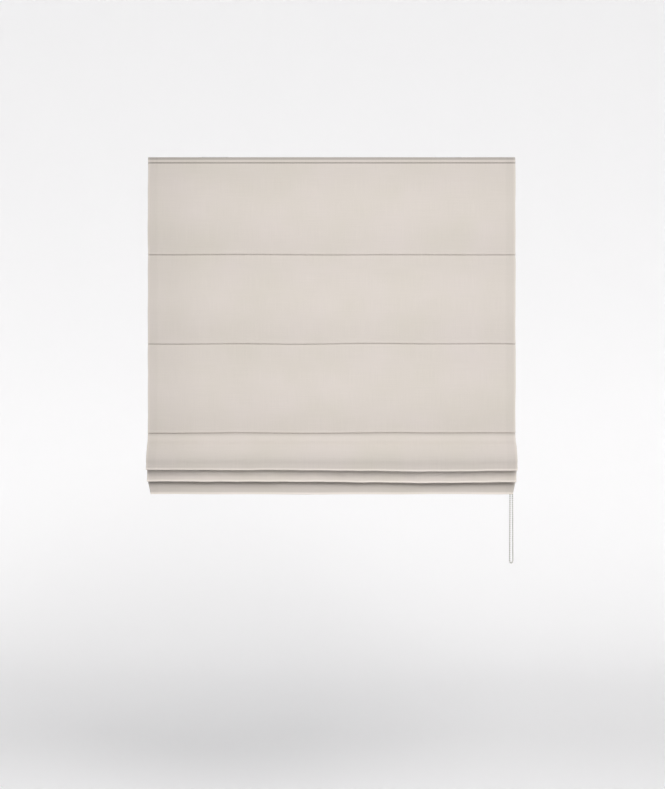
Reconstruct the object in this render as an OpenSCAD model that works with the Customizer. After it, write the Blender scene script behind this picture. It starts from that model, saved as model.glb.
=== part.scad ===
// Chain-operated roman blind, partly raised: two lower panels gathered into soft folds.
// Millimetres. X runs along the headrail, Y away from the room, Z up.
// The origin is the centre of the two bracket plates, on the face that meets the soffit.

/* [Fabric] */
// Width of the face fabric
blind_w = 1100; // [900:10:1400]
// From the top edge of the fabric to the first rod
top_panel_h = 291; // [260:1:320]
// From one rod to the next, along the fabric
panel_h = 267; // [258:1:276]
// From one rod to the next along the fabric, in the two gathered panels
gathered_h = 250; // [246:1:254]
// From the last rod to the bottom of the hem
hem_drop = 135; // [125:1:150]
// Thickness of the face fabric
fabric_t = 1.2; // [0.9:0.1:1.4]
// Thickness of the lining
lining_t = 0.6; // [0.4:0.1:0.8]
// Width of the side hem folded to the back
side_hem_w = 30; // [20:1:40]
// Height of the fabric folded in at the top
turn_in_h = 22; // [18:1:30]
// Height of the fabric turned up round the bottom bar
turn_up_h = 46; // [40:1:56]
// How far each lower corner of the hem is drawn in
corner_draw = 8; // [2:1:12]
// Depth of the stitched grooves across the face
seam_depth = 0.4; // [0.2:0.1:0.5]
// Height of the stitched grooves across the face
seam_h = 1.6; // [1:0.1:3]

/* [Folds] */
// How far the first fold stands forward
first_belly = 53; // [51:1:54]
// From the third rod down to where the first fold stands furthest forward
first_nose = 64; // [60:1:68]
// How far the second fold stands forward
second_belly = 36; // [34:1:37]
// Height from one gathered rod to the next
stack_pitch = 25; // [24:1:26]
// Radius at the bottom of a fold
fold_r = 2.8; // [2.4:0.1:3.2]
// Radius of the crease under a gathered rod
crease_r = 1; // [0.9:0.1:1.2]
// Upward slope of the fabric where it reaches a crease
crease_slope = 35; // [30:1:45]

/* [Headrail] */
// Depth of the headrail from room to window
rail_d = 38; // [36:1:42]
// Height of the headrail
rail_h = 30; // [28:1:34]
// Wall of the headrail
rail_wall = 1.4; // [1.2:0.1:1.8]
// Width of the slot between the two lips
slot_w = 22; // [20:1:24]
// Height of the hook and loop tape
tape_h = 16; // [12:1:20]
// Thickness of each half of the tape
tape_t = 1.3; // [1:0.1:1.6]

/* [Brackets] */
// From the edge of the fabric to the middle of each bracket
bracket_inset = 200; // [190:5:250]
// Length of a bracket plate
bracket_l = 80; // [76:1:90]
// Depth of a bracket plate
bracket_d = 34; // [30:1:36]
// Thickness of a bracket plate
bracket_t = 1.6; // [1.4:0.1:2.5]
// From a bracket's end to each of its screw holes
screw_inset = 8; // [6:0.5:9]
// Radius of a screw hole
screw_r = 2.5; // [2:0.1:3]
// Length of the cam across the lips
cam_l = 27; // [25:1:30]
// Thickness of the cam under the lips
cam_t = 3; // [2:0.1:4]
// Thickness of the cam's lever
lever_t = 2.2; // [1.6:0.1:3]
// Reach of the lever from the rivet
lever_reach = 25; // [23:1:27]

/* [Drive] */
// Radius from the shaft's axis to the middle of the wound cord
winding_r = 9; // [8:0.1:9.5]
// Distance of the shaft's axis behind the middle of the rail
shaft_y = 4.4; // [3:0.1:5]
// Size of the hexagonal shaft across its flats
shaft_flats = 6; // [5:0.1:7]
// From the edge of the fabric to the middle of each outer spool
spool_inset = 120; // [110:5:140]
// Length of the drum between a spool's flanges
drum_l = 24; // [22:1:28]
// Diameter of a lift cord
cord_d = 1.4; // [1:0.1:1.6]
// Full turns of cord on each drum
cord_turns = 9; // [6:1:11]
// Length of the drive housing at the right end
drive_l = 16; // [15:0.5:20]

/* [Rods] */
// Diameter of a rod
rod_d = 4; // [3.6:0.1:4.4]
// How far a rod stops short of the fabric's edge
rod_inset = 38; // [34:1:50]
// Width of the bottom bar
bar_h = 25; // [20:1:28]
// Thickness of the bottom bar
bar_t = 3; // [2.6:0.1:3.4]

/* [Chain] */
// Diameter of a bead
bead_d = 4.5; // [4.2:0.1:4.6]
// Distance from bead to bead
bead_pitch = 6; // [5.8:0.1:6.4]
// Beads on each straight strand
strand_beads = 199; // [120:1:210]
// Sideways shift of each strand at the bottom of the loop
strand_shift = 5.5; // [0:0.1:6]

/* [Hidden] */
$fn = 48;

// Clearances
loose = 0.3;
running = 0.05;

// Colours
cloth = "#d9d2c9";
ivory = "#ece7dc";
white = "#f2f0ec";
metal = "#c9ccd0";
plastic = "#e4e2dd";
glass_fibre = "#e9ead8";

// Headrail levels, from the soffit down
lever_top = -bracket_t - loose;
rail_top = lever_top - lever_t - loose;
lip_bottom = rail_top - rail_wall;
rail_bottom = rail_top - rail_h;
rail_floor = rail_bottom + rail_wall;
rail_inner_d = rail_d - 2 * rail_wall;
shaft_z = (lip_bottom + rail_floor) / 2;

// The face fabric's own plane is the middle of its thickness: "forward" is measured from it
half_t = fabric_t / 2;
layer_gap = 0.2;
turn_r = (fabric_t + layer_gap) / 2;
fabric_y = -rail_d / 2 - 2 * tape_t - 2 * turn_r - half_t;
fabric_top = -bracket_t - loose;
lining_back = half_t + lining_t;

// A rod lies in a pocket that stands on the back of the lining
rod_r = rod_d / 2;
pocket_r = rod_r + loose;
pocket_bite = 0.1;
rod_off = lining_back + pocket_r + lining_t - pocket_bite;
rod_y = fabric_y + rod_off;
rod_l = blind_w - 2 * rod_inset;
cord_y = shaft_y - winding_r;
spool_x = blind_w / 2 - spool_inset;
spool_places = [-spool_x, 0, spool_x];

// The cord leaves its drum beside the last full turn
function cord_x(x) = x + drum_l / 2 - cord_d;
guide_l = 12;
pocket_break = guide_l + 8;

// Heights of the rods: three hang at full spacing and two are gathered under the third
rod_z = [
    fabric_top - top_panel_h,
    fabric_top - top_panel_h - panel_h,
    fabric_top - top_panel_h - 2 * panel_h,
    fabric_top - top_panel_h - 2 * panel_h - stack_pitch,
    fabric_top - top_panel_h - 2 * panel_h - 2 * stack_pitch
];

// The sheet's route as states [forward, height, heading], with the heading in degrees
curve_steps = 8;
function heading(a) = [cos(a), sin(a)];
function place(s) = [s[0], s[1]];
function span(a, b) = norm(place(b) - place(a));
function without_repeats(path) = [
    for (i = [0 : len(path) - 1])
        if (i == 0 || span(path[i - 1], path[i]) > 0.01)
            path[i]
];
function curve(a, b, reach) =
    let (pull = reach * span(a, b))
    let (p = [place(a), place(a) + pull * heading(a[2]), place(b) - pull * heading(b[2]), place(b)])
    [
        for (i = [1 : curve_steps])
            let (t = i / curve_steps, u = 1 - t)
            let (q = u * u * u * p[0] + 3 * u * u * t * p[1] + 3 * u * t * t * p[2] + t * t * t * p[3])
            let (v = u * u * (p[1] - p[0]) + 2 * u * t * (p[2] - p[1]) + t * t * (p[3] - p[2]))
            [q[0], q[1], atan2(v[1], v[0])]
    ];
function bend(c, r, from, to, steps) = [
    for (i = [0 : steps])
        let (a = from + (to - from) * i / steps)
        [c[0] + r * cos(a), c[1] + r * sin(a), a + (to > from ? 90 : -90)]
];
function total(path) = len(path) < 2 ? 0 : [
    for (i = 0, sum = 0; i < len(path); i = i + 1, sum = sum + (i < len(path) ? span(path[i - 1], path[i]) : 0))
        sum
][len(path) - 1];

// A gathered rod's crease lies below and in front of it, where the sheet turns back under itself
function crease_centre(n) =
    [-rod_off, rod_z[n]] + (crease_r + rod_off) * heading(-crease_slope);
function crease(n) =
    bend(crease_centre(n), crease_r, 90 - crease_slope, 270 - crease_slope, 8);

// One fold: out to the belly, down, round the bottom and back up inside to the next crease
ply_gap = 5.4;
tuck = 3.5;
function fold(start, belly, level, bottom_z, finish) =
    let (front = [belly, level, -90])
    let (turn = [belly - tuck - fold_r, bottom_z + fold_r])
    let (back = [belly - ply_gap, level - ply_gap / 2, 90])
    let (round_bottom = bend(turn, fold_r, 0, -180, 10))
    concat(
        curve(start, front, 0.56),
        curve(front, round_bottom[0], 0.4),
        round_bottom,
        curve(round_bottom[10], back, 0.35),
        curve(back, finish, 0.56)
    );

// The fold's bottom is let down until the gathered panel uses its whole length
function settle(start, belly, level, finish, low, high, rounds) =
    let (mid = (low + high) / 2)
    rounds == 0 ? mid :
    total(concat([start], fold(start, belly, level, mid, finish))) > gathered_h - crease_r * PI ?
        settle(start, belly, level, finish, mid, high, rounds - 1) :
        settle(start, belly, level, finish, low, mid, rounds - 1);

// The first fold leaves the third rod's seam leaning forward
lean = 28;
lean_r = 6;
lean_arc = bend([lean_r, rod_z[2]], lean_r, 180, 180 + lean, 4);
first_start = lean_arc[4];
first_level = rod_z[2] - first_nose;
first_bottom =
    settle(first_start, first_belly, first_level, crease(3)[0], rod_z[2] - gathered_h, first_level, 20);
first_fold = fold(first_start, first_belly, first_level, first_bottom, crease(3)[0]);
second_start = crease(3)[8];
second_level = rod_z[3] - second_belly - ply_gap * 2;
second_bottom =
    settle(second_start, second_belly, second_level, crease(4)[0], rod_z[2] - gathered_h, second_level, 20);
second_fold = fold(second_start, second_belly, second_level, second_bottom, crease(4)[0]);

// The hem hangs below the last crease and turns up round the bottom bar
hem_r = (bar_t + 2 * loose + fabric_t) / 2;
hem_forward = 3;
hem_z = rod_z[4] - hem_drop;
hem_bend = bend([hem_forward - hem_r, hem_z + half_t + hem_r], hem_r, 0, -180, 10);
hem_start = crease(4)[8];
hem_level = rod_z[4] - 32;
stitch_h = 8;
upturn_top = hem_z + turn_up_h;
upturn_side = [hem_forward - 2 * hem_r, hem_z + half_t + hem_r + bar_h + loose, 90];
upturn_stitch = [hem_forward - 2 * turn_r, upturn_top - stitch_h, 90];
hem_panel = concat(curve(hem_start, [hem_forward, hem_level, -90], 0.4), [[hem_forward, upturn_top + 6, -90]]);
upturn = concat([upturn_side], curve(upturn_side, upturn_stitch, 0.4), [[upturn_stitch[0], upturn_top, 90]]);

// The whole sheet, from the edge that is folded in at the top to the edge that is turned up
top_bend = bend([-turn_r, fabric_top - half_t - turn_r], turn_r, 180, 0, 8);
below_turn_in = fabric_top - turn_in_h - 4;
visible_sheet = without_repeats(concat(
    [[0, below_turn_in, -90]],
    lean_arc, first_fold, crease(3), second_fold, crease(4), hem_panel
));
whole_sheet = without_repeats(
    concat([[-2 * turn_r, fabric_top - turn_in_h, 90]], top_bend, visible_sheet, hem_bend, upturn)
);

// Outline between two distances in front of the sheet's middle, drawn with height upwards
function beside(s, off) = place(s) + off * heading(s[2] + 90);
function ply(path, back, front) = concat(
    [for (s = path) beside(s, front)],
    [for (i = [len(path) - 1 : -1 : 0]) beside(path[i], back)]
);

// Carries an outline of [forward, height] to the fabric's plane and draws it out along X
module along_blind(x0, x1) {
    translate([x0, fabric_y, 0])
        rotate([90, 0, 90])
            linear_extrude(height = x1 - x0)
                mirror([1, 0])
                    children();
}

module face_fabric() {
    half_w = blind_w / 2;
    color(cloth)
        difference() {
            union() {
                along_blind(-half_w, half_w)
                    polygon(ply(whole_sheet, -half_t, half_t));
                along_blind(-half_w, side_hem_w - half_w)
                    polygon(ply(visible_sheet, -half_t - fabric_t, pocket_bite - half_t));
                along_blind(half_w - side_hem_w, half_w)
                    polygon(ply(visible_sheet, -half_t - fabric_t, pocket_bite - half_t));
            }
            for (z = [fabric_top - tape_h - seam_h, rod_z[0], rod_z[1], rod_z[2]])
                translate([-half_w - 1, fabric_y - half_t - 1, z - seam_h / 2])
                    cube([blind_w + 2, 1 + seam_depth, seam_h]);
            for (side = [-1, 1])
                drawn_corner(side);
        }
}

// Wedge that draws in a lower corner of the hem
module drawn_corner(side) {
    edge = side * blind_w / 2;
    top = second_bottom - loose;
    translate([0, fabric_y + 20, 0])
        rotate([90, 0, 0])
            linear_extrude(height = 40)
                polygon([
                    [edge, top],
                    [edge - side * corner_draw, hem_z - 1],
                    [edge + side, hem_z - 1],
                    [edge + side, top]
                ]);
}

module lining() {
    half_w = blind_w / 2 - side_hem_w - loose;
    pocket_half = rod_l / 2 + 3;
    breaks = [for (x = spool_places) each [cord_x(x) - pocket_break / 2, cord_x(x) + pocket_break / 2]];
    ends = concat([-pocket_half], breaks, [pocket_half]);
    color(ivory) {
        along_blind(-half_w, half_w)
            polygon(ply(visible_sheet, -lining_back, -half_t));
        for (z = rod_z, i = [0 : 2 : len(ends) - 2])
            translate([ends[i], rod_y, z])
                rotate([0, 90, 0])
                    tube(pocket_r + lining_t, pocket_r, ends[i + 1] - ends[i]);
    }
}

module tube(outer, inner, l) {
    difference() {
        cylinder(r = outer, h = l);
        translate([0, 0, -1])
            cylinder(r = inner, h = l + 2);
    }
}

// Lengths along the headrail
cap_t = 3;
plug_l = 12;
cap_end = -blind_w / 2 + 1;
rail_left = cap_end + cap_t;
drive_end = blind_w / 2 - 1;
rail_right = drive_end - drive_l;
rail_l = rail_right - rail_left;

module tape(y) {
    translate([rail_left, y, rail_top - tape_h])
        cube([rail_l, tape_t, tape_h]);
}

module loop_tape() {
    color(white)
        tape(-rail_d / 2 - 2 * tape_t);
}

module hook_tape() {
    color(white)
        tape(-rail_d / 2 - tape_t);
}

// Rectangle in Y and Z with its inside corners kept square
module section(d, top, bottom) {
    translate([-top, -d / 2])
        square([top - bottom, d]);
}

module along_rail(x0, x1) {
    translate([x0, 0, 0])
        rotate([0, 90, 0])
            linear_extrude(height = x1 - x0)
                children();
}

module headrail() {
    cord_hole_r = 3;
    color(white)
        difference() {
            along_rail(rail_left, rail_right)
                difference() {
                    section(rail_d, rail_top, rail_bottom);
                    section(rail_inner_d, lip_bottom, rail_floor);
                    section(slot_w, rail_top + 1, lip_bottom - 1);
                }
            for (x = spool_places)
                translate([x + drum_l / 2 - cord_d, cord_y, rail_bottom - 1])
                    cylinder(r = cord_hole_r, h = rail_wall + 2);
        }
}

// Plug that fills the rail's inside just below its lips
module rail_plug(x0, x1) {
    along_rail(x0, x1)
        section(rail_inner_d - 2 * running, lip_bottom - running, rail_floor + running);
}

journal_r = 2.5;
module left_end_cap() {
    color(plastic)
        difference() {
            union() {
                along_rail(cap_end, rail_left)
                    section(rail_d, rail_top, rail_bottom);
                rail_plug(rail_left, rail_left + plug_l);
            }
            along_rail(rail_left, rail_left + plug_l + 1)
                difference() {
                    section(rail_inner_d - 4, lip_bottom - 2, rail_floor + 2);
                    translate([-shaft_z, shaft_y])
                        circle(r = journal_r + 3);
                }
            translate([cap_end + 1, shaft_y, shaft_z])
                rotate([0, 90, 0])
                    cylinder(r = journal_r + running, h = cap_t + plug_l);
        }
}

// Ball chain wheel and the housing round it
wheel_pockets = 8;
wheel_pitch_r = bead_pitch / 2 / sin(180 / wheel_pockets);
bead_r = bead_d / 2;
rim_t = 1.5;
wheel_r = wheel_pitch_r + 1.6;
wheel_w = bead_d + 2 * loose + 2 * rim_t;
tooth_r = wheel_pitch_r - 0.5;
hub_r = 5;
back_plate_t = 2.5;
end_wall_t = 2.5;
wheel_right = drive_end - end_wall_t - 0.5;
wheel_x = wheel_right - wheel_w / 2;
wheel_left = wheel_right - wheel_w;
cavity_r = wheel_r + 1;
chain_way_w = 2 * (wheel_pitch_r + bead_r + 1);

module drive_housing() {
    color(plastic)
        difference() {
            union() {
                along_rail(rail_right, rail_right + back_plate_t)
                    section(rail_d, rail_top, rail_bottom);
                rail_plug(rail_right - plug_l, rail_right);
            }
            along_rail(rail_right - plug_l - 1, rail_right)
                difference() {
                    section(rail_inner_d - 4, lip_bottom - 2, rail_floor + 2);
                    translate([-shaft_z, shaft_y])
                        circle(r = hub_r + 2.5);
                }
            translate([rail_right - plug_l - 1, shaft_y, shaft_z])
                rotate([0, 90, 0])
                    cylinder(r = hub_r + running, h = plug_l + back_plate_t + 2);
        }
}

module drive_cover() {
    x0 = rail_right + back_plate_t;
    color(plastic)
        difference() {
            along_rail(x0, drive_end)
                section(rail_d, rail_top, rail_bottom);
            translate([x0 - 1, shaft_y, shaft_z])
                rotate([0, 90, 0])
                    cylinder(r = cavity_r, h = drive_end - end_wall_t - x0 + 1);
            translate([x0 - 1, shaft_y - chain_way_w / 2, rail_bottom - 1])
                cube([drive_end - end_wall_t - x0 + 1, chain_way_w, shaft_z - rail_bottom + 1]);
            translate([x0, shaft_y, shaft_z])
                rotate([0, 90, 0])
                    cylinder(r = journal_r + running, h = drive_end - x0 - 0.8);
        }
}

hub_l = wheel_left - rail_right + plug_l;
neck_r = 0.5;
module chain_wheel() {
    groove_r = wheel_pitch_r - 1.8;
    color(plastic)
        difference() {
            translate([wheel_left, shaft_y, shaft_z])
                rotate([0, 90, 0])
                    union() {
                        cylinder(r = wheel_r, h = rim_t);
                        cylinder(r = tooth_r, h = wheel_w);
                        translate([0, 0, wheel_w - rim_t])
                            cylinder(r = wheel_r, h = rim_t);
                        translate([0, 0, wheel_w])
                            cylinder(r = journal_r, h = drive_end - wheel_right - 1);
                        translate([0, 0, -hub_l])
                            cylinder(r = hub_r, h = hub_l + 1);
                    }
            translate([wheel_x - neck_r - loose, shaft_y, shaft_z])
                rotate([0, 90, 0])
                    tube(wheel_r + 1, groove_r, 2 * (neck_r + loose));
            for (i = [0 : wheel_pockets - 1])
                translate([wheel_x, shaft_y, shaft_z])
                    rotate([i * 360 / wheel_pockets, 0, 0])
                        translate([0, wheel_pitch_r, 0])
                            sphere(r = bead_r + 0.15);
            translate([wheel_left - hub_l - 1, shaft_y, shaft_z])
                rotate([0, 90, 0])
                    cylinder(r = hex_r(shaft_flats + 2 * running), h = hub_l + 5, $fn = 6);
        }
}

function hex_r(flats) = flats / 2 / cos(30);

module drive_shaft() {
    x0 = rail_left + plug_l + 2;
    x1 = wheel_left + 3;
    color(metal)
        translate([0, shaft_y, shaft_z])
            rotate([0, 90, 0]) {
                translate([0, 0, x0])
                    cylinder(r = hex_r(shaft_flats), h = x1 - x0, $fn = 6);
                translate([0, 0, cap_end + 1.5])
                    cylinder(r = journal_r, h = x0 - cap_end - 1.5);
            }
}

// Spool with its two flanges and two journals, and the cradle that carries it
flange_t = 1.6;
flange_r = winding_r + 2.2;
drum_r = winding_r - cord_d / 2 - running;
cheek_t = 2;
spool_journal_r = 4.5;
cheek_gap = drum_l + 2 * flange_t + 2 * loose;
cradle_base_t = 1.2;

module spool(x) {
    color(plastic)
        translate([x, shaft_y, shaft_z])
            rotate([0, 90, 0])
                difference() {
                    union() {
                        for (side = [-1, 1])
                            translate([0, 0, side * (drum_l + flange_t) / 2 - flange_t / 2])
                                cylinder(r = flange_r, h = flange_t);
                        translate([0, 0, -drum_l / 2])
                            cylinder(r = drum_r, h = drum_l);
                        translate([0, 0, -cheek_gap / 2 - cheek_t - loose])
                            cylinder(r = spool_journal_r, h = cheek_gap + 2 * cheek_t + 2 * loose);
                    }
                    translate([0, 0, -cheek_gap])
                        cylinder(r = hex_r(shaft_flats + 2 * running), h = 2 * cheek_gap, $fn = 6);
                }
}

module cradle(x) {
    half = cheek_gap / 2 + cheek_t;
    inside = rail_inner_d - 2 * running;
    color(white)
        difference() {
            translate([x - half, -inside / 2, rail_floor + running])
                cube([2 * half, inside, shaft_z + 8 - rail_floor]);
            translate([x - cheek_gap / 2, -rail_d, rail_floor + cradle_base_t])
                cube([cheek_gap, 2 * rail_d, rail_h]);
            translate([x - half - 1, shaft_y, shaft_z])
                rotate([0, 90, 0])
                    cylinder(r = spool_journal_r + running, h = 2 * half + 2);
            translate([cord_x(x), cord_y, rail_floor - 1])
                cylinder(r = cord_d / 2 + 1, h = cradle_base_t + 2);
        }
}

turn_pitch = cord_d + running;

module wound_cords() {
    color(white)
        for (x = spool_places, i = [1 : cord_turns])
            translate([cord_x(x) - i * turn_pitch, shaft_y, shaft_z])
                rotate([0, 90, 0])
                    rotate_extrude()
                        translate([winding_r, 0])
                            circle(r = cord_d / 2, $fn = 16);
}

// Each cord runs from its drum through the guides and is knotted under the last one
knot_r = 2;
eye_h = 8;
module lift_cords() {
    knot_z = rod_z[4] - eye_h / 2 - loose - knot_r;
    color(white)
        for (x = spool_places) {
            translate([cord_x(x), cord_y, knot_z])
                cylinder(r = cord_d / 2, h = shaft_z - knot_z, $fn = 16);
            translate([cord_x(x), cord_y, knot_z])
                sphere(r = knot_r, $fn = 24);
        }
}

// Bead outline from one narrow neck to the next, for a straight strand of beads
neck_a = acos(neck_r / bead_r);
function bead_outline(z) = [
    for (a = [-neck_a, -neck_a / 2, 0, neck_a / 2, neck_a])
        [bead_r * cos(a), z + bead_r * sin(a)]
];

strand_l = strand_beads * bead_pitch;
module strand(end) {
    lowest = -strand_l;
    shift = strand_shift * end;
    turned_y = sqrt(pow(wheel_pitch_r, 2) - pow(strand_shift, 2)) - wheel_pitch_r;
    tilt_x = -atan(turned_y * end / strand_l);
    tilt_y = -atan(shift / strand_l);
    translate([wheel_x, shaft_y + end * wheel_pitch_r, shaft_z])
        rotate([-tilt_x, tilt_y, 0])
            rotate_extrude($fn = 24)
                polygon(concat(
                    [[0, lowest - bead_r]],
                    [for (i = [strand_beads : -1 : 1]) each bead_outline(-i * bead_pitch)],
                    [[neck_r, -bead_r - running], [0, -bead_r - running]]
                ));
}

module ball_chain() {
    bottom_z = shaft_z - strand_l;
    loop_a = asin(strand_shift / wheel_pitch_r);
    color(metal) {
        strand(-1);
        strand(1);
        translate([wheel_x, shaft_y, shaft_z])
            half_turn(0);
        translate([wheel_x, shaft_y, bottom_z])
            rotate([0, 0, -loop_a])
                mirror([0, 0, 1])
                    half_turn(1);
    }
}

// Beads and the short links between them on half a turn, without "skip" beads at each end
module half_turn(skip) {
    step = 360 / wheel_pockets;
    for (i = [skip : wheel_pockets / 2 - skip])
        rotate([i * step, 0, 0])
            translate([0, wheel_pitch_r, 0])
                sphere(r = bead_r, $fn = 24);
    for (i = [0 : wheel_pockets / 2 - 1])
        rotate([(i + 0.5) * step, 0, 0])
            translate([0, wheel_pitch_r * cos(step / 2), 0])
                cylinder(r = neck_r, h = bead_pitch - bead_d - 2 * running, center = true, $fn = 16);
}

module chain_joiner() {
    joined = 18;
    share = joined / strand_beads;
    x = wheel_x + strand_shift * share;
    color(metal)
        translate([x, shaft_y + wheel_pitch_r - share * 2.2, shaft_z - (joined + 1) * bead_pitch])
            tube(bead_r + 0.7, bead_r + 0.2, 2 * bead_pitch);
}

// Bracket plate, riveted cam and the cam's lever above the lips
rivet_r = 2;
rivet_head_r = 3.6;
rivet_head_t = 0.7;
bracket_x = blind_w / 2 - bracket_inset;
screw_x = bracket_l / 2 - screw_inset;
module bracket(x) {
    color(metal)
        translate([x, 0, 0])
            difference() {
                translate([-bracket_l / 2, -bracket_d / 2, -bracket_t])
                    cube([bracket_l, bracket_d, bracket_t]);
                for (side = [-1, 1])
                    translate([side * screw_x, 0, -bracket_t - 1])
                        cylinder(r = screw_r, h = bracket_t + 2);
                translate([0, 0, -bracket_t - 1])
                    cylinder(r = rivet_r + running, h = bracket_t + 2);
                translate([0, 0, -rivet_head_t - running])
                    cylinder(r = rivet_head_r + running, h = 1);
            }
}

neck_bottom = lip_bottom - loose;
cam_bottom = neck_bottom - cam_t;
module cam(x) {
    cam_w = slot_w - 8;
    color(white)
        translate([x, 0, 0])
            difference() {
                union() {
                    translate([0, 0, cam_bottom])
                        linear_extrude(height = cam_t)
                            intersection() {
                                circle(r = cam_l / 2);
                                square([cam_w, cam_l], center = true);
                            }
                    translate([0, 0, neck_bottom - 0.1])
                        cylinder(r = cam_w / 2, h = lever_top - neck_bottom + 0.1);
                    translate([-4, 0, lever_top - lever_t])
                        cube([8, lever_reach - 4, lever_t]);
                    translate([0, lever_reach - 4, lever_top - lever_t])
                        cylinder(r = 4, h = lever_t);
                }
                translate([0, 0, cam_bottom - 1])
                    cylinder(r = rivet_r + running, h = 30);
            }
}

module cam_rivets() {
    color(metal)
        for (side = [-1, 1])
            translate([side * bracket_x, 0, 0]) {
                translate([0, 0, -rivet_head_t])
                    cylinder(r = rivet_head_r, h = rivet_head_t);
                translate([0, 0, cam_bottom - loose - rivet_head_t])
                    cylinder(r = rivet_r, h = -cam_bottom + loose + rivet_head_t - rivet_head_t / 2);
                translate([0, 0, cam_bottom - loose - rivet_head_t])
                    cylinder(r = rivet_head_r, h = rivet_head_t);
            }
}

module rod(n) {
    color(glass_fibre)
        translate([-rod_l / 2, rod_y, rod_z[n]])
            rotate([0, 90, 0])
                cylinder(r = rod_r, h = rod_l);
}

// Clip that snaps on the rod through a break in the pocket, with an eye for the lift cord
module guides(n) {
    clip_wall = 1.2;
    eye_r = cord_d / 2 + 0.8;
    turned = n > 2 ? crease_slope : 0;
    clear_front = rod_off - lining_back - loose - 0.1;
    color(plastic)
        for (x = spool_places)
            translate([cord_x(x), 0, rod_z[n]])
                difference() {
                    union() {
                        translate([-guide_l / 2, rod_y, 0])
                            rotate([0, 90, 0])
                                cylinder(r = rod_r + clip_wall, h = guide_l);
                        translate([-2, rod_y, -2])
                            cube([4, cord_y - rod_y, 4]);
                        translate([0, cord_y, -eye_h / 2])
                            cylinder(r = eye_r + 1.6, h = eye_h);
                    }
                    translate([-guide_l, rod_y, 0])
                        rotate([0, 90, 0])
                            cylinder(r = rod_r + running, h = 2 * guide_l);
                    translate([0, rod_y, 0])
                        rotate([turned, 0, 0])
                            translate([-guide_l, -10, -10])
                                cube([2 * guide_l, 10 - clear_front, 20]);
                    translate([0, cord_y, -eye_h])
                        cylinder(r = eye_r, h = 2 * eye_h);
                }
}

bar_z = hem_z + half_t + hem_r;
bar_l = blind_w - 2 * corner_draw - 60;
bar_cap_l = 8;
bar_y = fabric_y - hem_forward + hem_r;
module bottom_bar() {
    color(metal)
        translate([-bar_l / 2, bar_y - bar_t / 2, bar_z])
            cube([bar_l, bar_t, bar_h]);
}

module bar_end_caps() {
    color(plastic)
        for (side = [-1, 1])
            translate([side * (bar_l / 2 + bar_cap_l / 2) - bar_cap_l / 2, bar_y - bar_t / 2, bar_z])
                cube([bar_cap_l, bar_t, bar_h]);
}

face_fabric();
lining();
loop_tape();
hook_tape();
headrail();
left_end_cap();
drive_housing();
drive_cover();
bracket(-bracket_x);  // left_bracket
bracket(bracket_x);  // right_bracket
cam(-bracket_x);  // left_cam
cam(bracket_x);  // right_cam
cam_rivets();
drive_shaft();
cradle(-spool_x);  // left_cradle
cradle(0);  // middle_cradle
cradle(spool_x);  // right_cradle
spool(-spool_x);  // left_spool
spool(0);  // middle_spool
spool(spool_x);  // right_spool
wound_cords();
lift_cords();
chain_wheel();
ball_chain();
chain_joiner();
rod(0);  // rod_1
rod(1);  // rod_2
rod(2);  // rod_3
rod(3);  // rod_4
rod(4);  // rod_5
guides(0);  // rod_1_guides
guides(1);  // rod_2_guides
guides(2);  // rod_3_guides
guides(3);  // rod_4_guides
guides(4);  // rod_5_guides
bottom_bar();
bar_end_caps();
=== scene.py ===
# Lined roman blind on a chain-driven headrail, partly raised: three flat panels, two soft folds and a hem.
# Metres, in the model's own frame: X along the headrail, Y away from the room, Z up, with 0 on
# the upper faces of the bracket plates.
import math
import random

import bpy
import numpy as np
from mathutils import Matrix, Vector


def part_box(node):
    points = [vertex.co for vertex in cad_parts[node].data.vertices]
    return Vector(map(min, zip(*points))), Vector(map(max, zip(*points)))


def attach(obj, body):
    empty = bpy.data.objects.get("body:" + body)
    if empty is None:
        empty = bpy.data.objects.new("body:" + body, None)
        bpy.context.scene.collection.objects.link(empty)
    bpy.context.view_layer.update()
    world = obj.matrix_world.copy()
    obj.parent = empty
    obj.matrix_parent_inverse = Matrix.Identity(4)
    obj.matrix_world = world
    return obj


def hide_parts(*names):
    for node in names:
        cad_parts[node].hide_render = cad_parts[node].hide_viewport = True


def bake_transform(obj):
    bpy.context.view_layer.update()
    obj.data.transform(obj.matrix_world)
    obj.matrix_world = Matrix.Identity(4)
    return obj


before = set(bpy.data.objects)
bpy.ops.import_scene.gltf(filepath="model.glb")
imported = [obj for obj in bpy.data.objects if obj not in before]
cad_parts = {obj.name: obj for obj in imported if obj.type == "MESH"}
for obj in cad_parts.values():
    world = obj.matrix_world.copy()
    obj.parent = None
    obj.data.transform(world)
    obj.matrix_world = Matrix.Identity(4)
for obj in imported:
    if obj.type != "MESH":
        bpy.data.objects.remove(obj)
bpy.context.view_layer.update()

# ----------------------------------------
# Camera, pale floor and soft light. The camera stands level with the middle of the picture, 3.8 m
# in front of the blind; the floor is the room's, far below, and sweeps up well behind.


def placed(name, data):
    """A new object of the scene, at the origin."""
    made = bpy.data.objects.new(name, data)
    bpy.context.scene.collection.objects.link(made)
    return made


camera_x, camera_y, camera_z, lens_mm = 0.0024, -3.8, -0.713, 57.5
camera = placed("camera", bpy.data.cameras.new("camera"))
camera.location = (camera_x, camera_y, camera_z)
camera.rotation_euler = (math.pi / 2, 0, 0)
camera.data.lens = lens_mm
bpy.context.scene.camera = camera
# The standard view keeps a photograph's contrast and the cloth's own colour.
bpy.context.scene.view_settings.view_transform = "Standard"


def linear(hex_colour):
    """An sRGB hex colour as the linear RGBA that shaders take."""
    parts = [int(hex_colour[i:i + 2], 16) / 255 for i in (1, 3, 5)]
    return (*(p / 12.92 if p <= 0.04045 else ((p + 0.055) / 1.055) ** 2.4 for p in parts), 1.0)


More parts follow.
